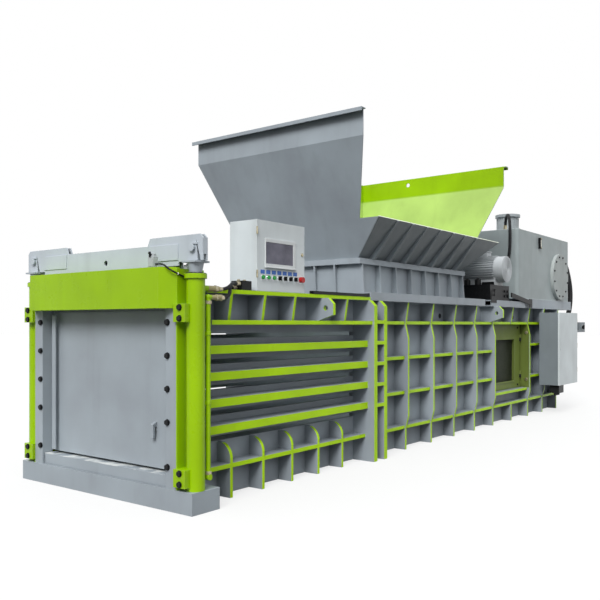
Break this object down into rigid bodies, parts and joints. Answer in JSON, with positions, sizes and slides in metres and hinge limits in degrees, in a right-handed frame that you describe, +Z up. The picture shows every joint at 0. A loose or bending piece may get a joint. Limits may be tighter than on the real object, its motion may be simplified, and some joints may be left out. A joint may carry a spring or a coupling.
{
  "type": "horizontal baler",
  "caption": "Horizontal recycling baler: a hopper feeds a press body, a ram pushes waste into a slotted bale chamber, and a hydraulic gate lifts to let the bale out.",
  "frame": {"origin": "on the floor, under the middle of the sill beam at the gate end", "axes": "+X from the gate end to the rear, +Z up, the operator's side is -Y"},
  "size_m": [7.4857, 1.876, 2.722],
  "materials": {
    "frame_gray": "satin gray paint",
    "frame_green": "semi-gloss lime green paint",
    "cabinet_gray": "fine textured pale gray paint",
    "motor_gray": "satin gray paint on cast housings",
    "black_steel": "black oxide and black paint",
    "rod_steel": "hard chrome, polished",
    "hose_rubber": "matte black rubber",
    "black_plastic": "matte black",
    "green_plastic": "glossy green",
    "red_plastic": "glossy red",
    "gauge_plastic": "clear plastic over a white scale"
  },
  "bodies": {
    "frame": {"sill_beam": "frame_gray", "gate_guides": "frame_gray", "floor_plates": "frame_gray", "chamber_roof": "frame_gray", "press_roof": "frame_gray", "chamber_headers": "frame_gray", "chamber_skirts": "frame_gray", "joint_flanges": "frame_gray", "lifting_lugs": "frame_gray", "press_wall_right": "frame_gray", "press_wall_left": "frame_gray", "rear_plate": "frame_gray", "deck_frame": "frame_gray", "hopper_base": "frame_gray", "hopper_front_wall": "frame_gray", "hopper_rear_wall": "frame_gray", "hopper_left_wall": "frame_gray", "hopper_right_wall": "frame_gray", "oil_tank": "frame_gray", "manhole_cover": "frame_gray", "ram_cylinder": "frame_gray", "gate_posts": "frame_green", "gate_cover_beam": "frame_green", "cylinder_brackets": "frame_green", "gate_cylinders": "frame_green", "cylinder_pipes": "frame_green", "chamber_bars": "frame_green", "control_cabinet": "cabinet_gray", "electric_cabinet": "cabinet_gray", "pump_motor": "motor_gray", "return_filter": "motor_gray", "frame_bolts": "black_steel", "manhole_bolts": "black_steel", "valve_block": "black_steel", "hose_manifolds": "black_steel", "limit_switch": "black_steel", "inspection_hinges": "black_steel", "gate_hoses": "hose_rubber", "return_hose": "hose_rubber", "tank_hose": "hose_rubber", "switch_cable": "hose_rubber", "level_gauge": "gauge_plastic"},
    "gate": {"gate_door": "frame_gray", "lift_beam": "frame_gray", "gate_rods": "rod_steel"},
    "ram": {"ram_head": "frame_gray", "ram_rod": "rod_steel"},
    "hatch": {"inspection_door": "frame_green", "inspection_mesh": "black_steel"},
    "control_lid": {"control_door": "cabinet_gray", "touch_screen": "black_plastic"},
    "electric_lid": {"electric_door": "cabinet_gray"},
    "push_button_1": {"push_button_1": "green_plastic"},
    "push_button_2": {"push_button_2": "green_plastic"},
    "push_button_3": {"push_button_3": "green_plastic"},
    "selector_1": {"selector_1": "black_plastic"},
    "selector_2": {"selector_2": "black_plastic"},
    "selector_3": {"selector_3": "black_plastic"},
    "selector_4": {"selector_4": "black_plastic"},
    "emergency_stop": {"emergency_stop": "red_plastic"}
  },
  "joints": [
    {"name": "gate_lift", "type": "slide", "parent": "frame", "child": "gate", "axis": [0, 0, 1], "range_m": [0, 0.88]},
    {"name": "ram_stroke", "type": "slide", "parent": "frame", "child": "ram", "axis": [-1, 0, 0], "range_m": [0, 2.2]},
    {"name": "hatch_hinge", "type": "hinge", "parent": "frame", "child": "hatch", "pos_m": [5.4305, -0.6213, 0.7], "axis": [0, 0, 1], "range_deg": [0, 90]},
    {"name": "control_lid_hinge", "type": "hinge", "parent": "frame", "child": "control_lid", "pos_m": [0.5645, -0.739, 1.52], "axis": [0, 0, -1], "range_deg": [0, 110]},
    {"name": "electric_lid_hinge", "type": "hinge", "parent": "frame", "child": "electric_lid", "pos_m": [6.445, -0.98, 0.78], "axis": [0, 0, 1], "range_deg": [0, 110]},
    {"name": "push_button_1_press", "type": "slide", "parent": "control_lid", "child": "push_button_1", "axis": [0, 1, 0], "range_m": [0, 0.004], "stiffness_N_per_m": 400},
    {"name": "push_button_2_press", "type": "slide", "parent": "control_lid", "child": "push_button_2", "axis": [0, 1, 0], "range_m": [0, 0.004], "stiffness_N_per_m": 400},
    {"name": "push_button_3_press", "type": "slide", "parent": "control_lid", "child": "push_button_3", "axis": [0, 1, 0], "range_m": [0, 0.004], "stiffness_N_per_m": 400},
    {"name": "selector_1_turn", "type": "hinge", "parent": "control_lid", "child": "selector_1", "pos_m": [0.7905, -0.747, 1.385], "axis": [0, 1, 0], "range_deg": [-45, 45]},
    {"name": "selector_2_turn", "type": "hinge", "parent": "control_lid", "child": "selector_2", "pos_m": [0.8475, -0.747, 1.385], "axis": [0, 1, 0], "range_deg": [-45, 45]},
    {"name": "selector_3_turn", "type": "hinge", "parent": "control_lid", "child": "selector_3", "pos_m": [0.9045, -0.747, 1.385], "axis": [0, 1, 0], "range_deg": [-45, 45]},
    {"name": "selector_4_turn", "type": "hinge", "parent": "control_lid", "child": "selector_4", "pos_m": [0.9615, -0.747, 1.385], "axis": [0, 1, 0], "range_deg": [-45, 45]},
    {"name": "emergency_stop_press", "type": "slide", "parent": "control_lid", "child": "emergency_stop", "axis": [0, 1, 0], "range_m": [0, 0.005], "stiffness_N_per_m": 500}
  ]
}
